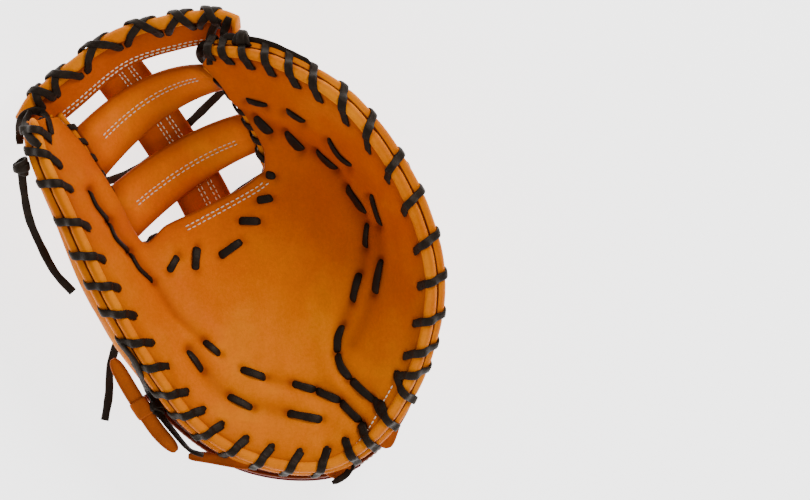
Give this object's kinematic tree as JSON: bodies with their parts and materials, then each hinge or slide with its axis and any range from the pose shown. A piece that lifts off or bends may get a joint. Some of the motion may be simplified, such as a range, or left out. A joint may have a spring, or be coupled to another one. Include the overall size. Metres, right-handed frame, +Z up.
{
  "type": "baseball first base mitt",
  "caption": "Leather first base mitt for the left hand: deep laced pocket, single-post web with folded bars, rolled rim, wrist strap and open back window.",
  "frame": {"origin": "centre of the bounding box's bottom face, on the surface that the mitt lies on", "axes": "+X from the thumb to the little finger side, +Y from the heel to the web, +Z up out of the pocket"},
  "size_m": [0.304, 0.3346, 0.143],
  "materials": {
    "palm_leather": "satin",
    "back_leather": "satin",
    "roll_leather": "satin",
    "web_leather": "satin",
    "strap_leather": "satin",
    "lace": "matte",
    "lining": "matte",
    "patch": "matte"
  },
  "bodies": {
    "root": {"palm_shell": "palm_leather", "back_shell": "back_leather", "palm_welt": "roll_leather", "back_welt": "roll_leather", "rim_lace": "lace", "crotch_welt": "roll_leather", "crotch_lace": "lace", "web_bar_upper": "web_leather", "web_bar_lower": "web_leather", "web_post": "web_leather", "web_top_band": "web_leather", "band_lace": "lace", "wrist_strap": "strap_leather", "opening_binding": "strap_leather", "label_patch": "patch", "hand_lining": "lining", "thumb_patch": "patch", "thumb_tongue": "strap_leather", "tongue_keeper": "strap_leather", "web_tie_upper": "lace", "web_tie_lower": "lace", "thumb_tail": "lace", "side_tail": "lace", "finger_tail": "lace", "little_finger_tie": "lace"}
  },
  "joints": []
}
